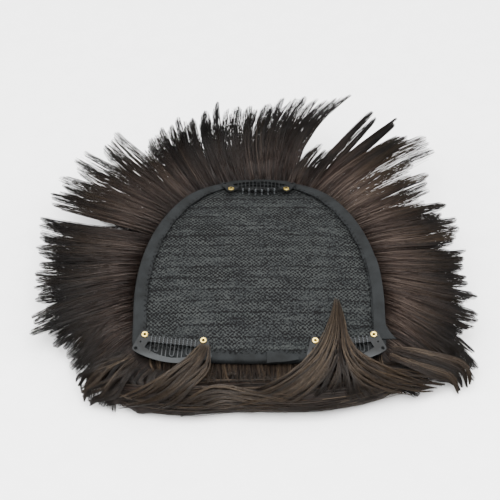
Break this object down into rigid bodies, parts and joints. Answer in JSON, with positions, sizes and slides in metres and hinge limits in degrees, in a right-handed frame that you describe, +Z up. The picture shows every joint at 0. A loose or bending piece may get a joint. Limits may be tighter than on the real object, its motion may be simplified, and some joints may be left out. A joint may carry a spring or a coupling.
{
  "type": "toupee",
  "caption": "Clip-in toupee lying lining side up: domed net cap with bound rim and comb clips, dark hair fanned out all round it.",
  "frame": {"origin": "centre of the footprint, on the table top that the hair lies on", "axes": "+Z up out of the lining, +Y from the cap's front edge to its rounded back, +X to the right of the cap seen from the front edge"},
  "size_m": [0.2256, 0.1918, 0.0444],
  "materials": {
    "net_cloth": "matt knitted net, dark grey",
    "tape_cloth": "matt woven tape, dark grey",
    "painted_steel": "satin black paint",
    "brass": "polished",
    "dark_hair": "dark brown hair with a soft sheen"
  },
  "bodies": {
    "root": {"cap_net": "net_cloth", "edge_binding": "tape_cloth", "tape_tail": "tape_cloth", "tape_tag": "tape_cloth", "front_clip_left": "painted_steel", "front_clip_right": "painted_steel", "crown_clip": "painted_steel", "front_clip_left_eyelet_a": "brass", "front_clip_left_eyelet_b": "brass", "front_clip_right_eyelet_a": "brass", "front_clip_right_eyelet_b": "brass", "crown_clip_eyelet_a": "brass", "crown_clip_eyelet_b": "brass", "hair": "dark_hair"}
  },
  "joints": []
}
